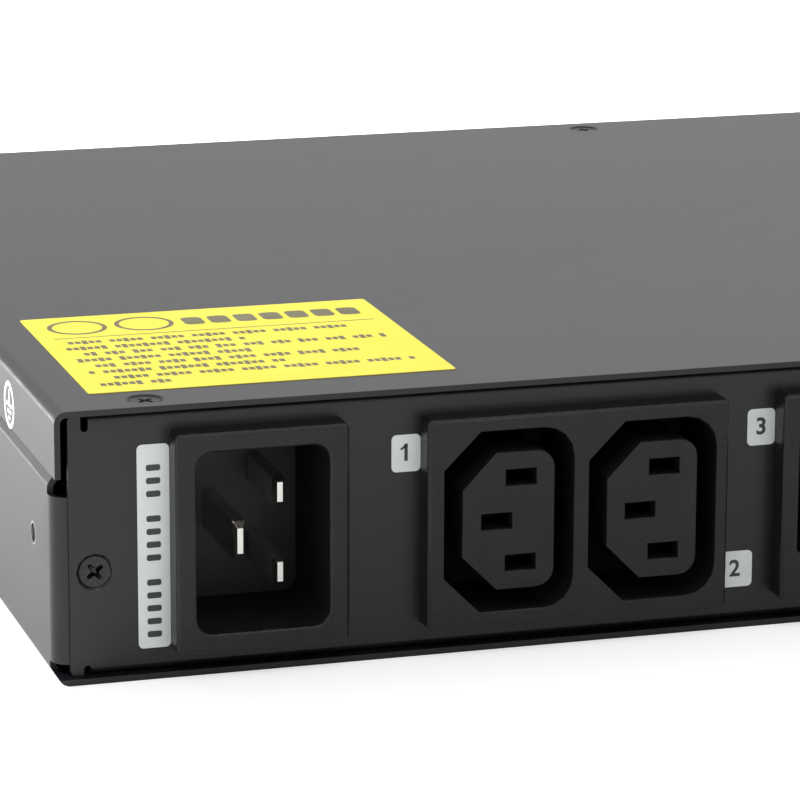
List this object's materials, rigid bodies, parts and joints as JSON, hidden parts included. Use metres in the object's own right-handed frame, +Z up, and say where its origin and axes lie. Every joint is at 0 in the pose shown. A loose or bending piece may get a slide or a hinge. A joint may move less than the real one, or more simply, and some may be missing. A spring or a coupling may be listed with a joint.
{
  "type": "rack power distribution unit",
  "caption": "Rack power distribution unit: a flat folded steel case with a recessed mains inlet and a row of shrouded outlet sockets along one long side",
  "frame": {"origin": "bottom centre of the bounding box", "axes": "X along the outlet face, Y from the outlet face (-Y) to the rack ears (+Y), Z up"},
  "size_m": [0.4826, 0.2152, 0.044],
  "materials": {
    "case_paint": "satin powder coat",
    "screw_steel": "black zinc",
    "plated_steel": "zinc plated",
    "receptacle_sleeve": "semi-clear",
    "moulding": "fine grain",
    "plated_pin": "nickel plated",
    "contact_brass": "stamped",
    "insulation_sheet": "matt",
    "line_insulation": "satin",
    "neutral_insulation": "satin",
    "earth_insulation": "satin"
  },
  "bodies": {
    "root": {"base_tray": "case_paint", "top_cover": "case_paint", "outlet_panel": "case_paint", "front_panel": "case_paint", "rack_ear_left": "case_paint", "rack_ear_right": "case_paint", "cover_screws": "screw_steel", "panel_screws": "screw_steel", "ear_screws": "screw_steel", "side_clinch_nuts": "plated_steel", "earth_stud": "plated_steel", "earth_washer": "plated_steel", "earth_nut": "plated_steel", "ring_terminals": "plated_steel", "lead_receptacles": "receptacle_sleeve", "inlet_housing": "moulding", "outlet_module_1_2": "moulding", "outlet_module_3_4": "moulding", "outlet_module_5_6": "moulding", "outlet_module_7_8": "moulding", "outlet_module_9_10": "moulding", "outlet_module_11_12": "moulding", "inlet_pin_line": "plated_pin", "inlet_pin_neutral": "plated_pin", "inlet_pin_earth": "plated_pin", "line_contacts": "contact_brass", "line_busbar": "contact_brass", "neutral_contacts": "contact_brass", "neutral_busbar": "contact_brass", "earth_contacts": "contact_brass", "earth_busbar": "contact_brass", "terminal_cover": "insulation_sheet", "line_lead": "line_insulation", "neutral_lead": "neutral_insulation", "earth_lead": "earth_insulation", "bond_lead": "earth_insulation"}
  },
  "joints": []
}
